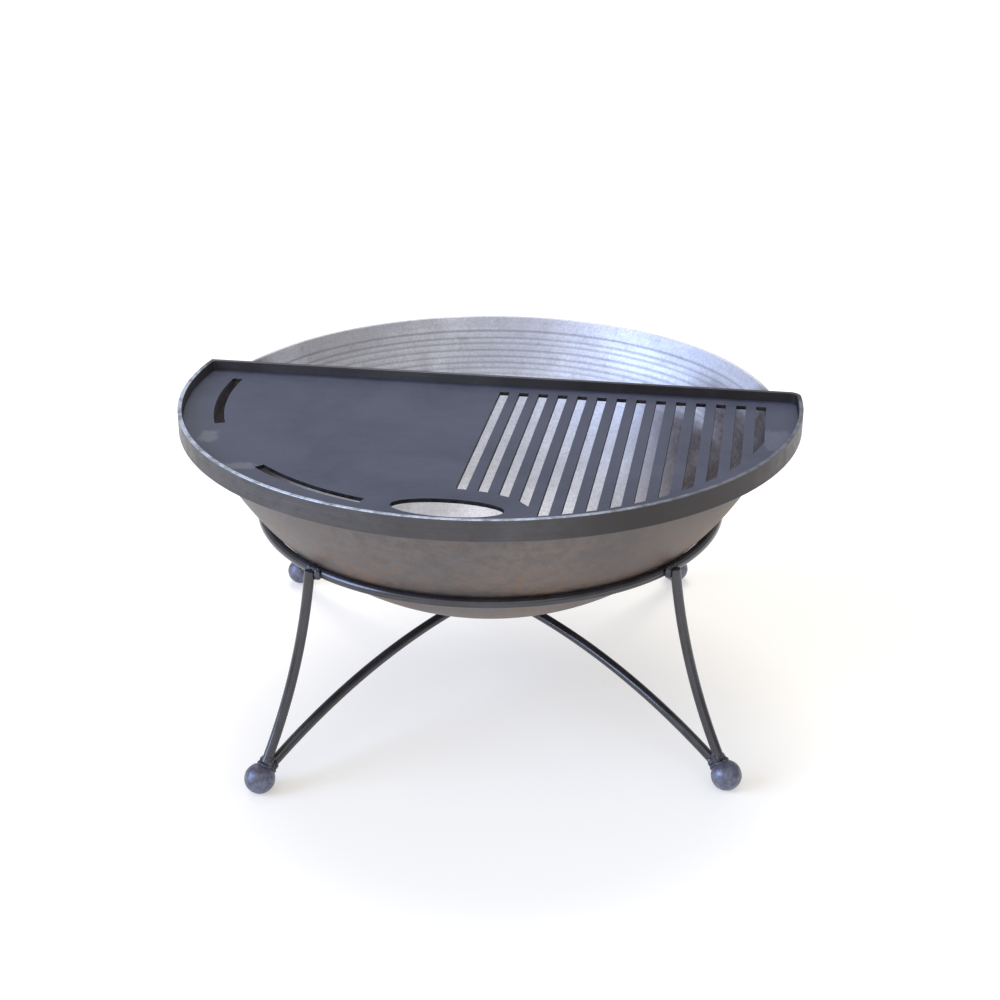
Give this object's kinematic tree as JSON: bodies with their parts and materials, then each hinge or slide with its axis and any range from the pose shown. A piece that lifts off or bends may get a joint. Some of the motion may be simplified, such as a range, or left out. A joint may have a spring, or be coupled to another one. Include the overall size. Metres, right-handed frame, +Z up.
{
  "type": "fire pit with grate",
  "caption": "Round dished steel fire bowl in a welded round-bar stand on ball feet, with a lift-off half-moon plate that is part griddle and part slotted grate.",
  "frame": {"origin": "on the floor under the middle of the footprint's box, which is 13 mm in front of the bowl's axis", "axes": "+Z up, -Y to the cooking side where the plate lies, +X to the right of someone who stands there"},
  "size_m": [0.7494, 0.7248, 0.3917],
  "materials": {
    "stand": "semi-gloss blue-black paint over round bar",
    "bowl": "bare spun steel, satin, with faint surface rust outside",
    "plate": "satin slate-black heat-proof finish on rolled steel plate",
    "band": "satin dark grey steel with a worn bright top edge"
  },
  "bodies": {
    "stand": {"support_ring": "stand", "upright_1": "stand", "upright_2": "stand", "upright_3": "stand", "upright_4": "stand", "cross_arch": "stand", "half_arch_1": "stand", "half_arch_2": "stand", "ball_foot_1": "stand", "ball_foot_2": "stand", "ball_foot_3": "stand", "ball_foot_4": "stand"},
    "bowl": {"bowl": "bowl"},
    "cooking_top": {"cooking_plate": "plate", "edge_band": "band"}
  },
  "joints": [
    {"name": "bowl_lift", "type": "slide", "parent": "stand", "child": "bowl", "axis": [0, 0, 1], "range_m": [0, 0.2]},
    {"name": "plate_lift", "type": "slide", "parent": "bowl", "child": "cooking_top", "axis": [0, 0, 1], "range_m": [0, 0.15]}
  ]
}
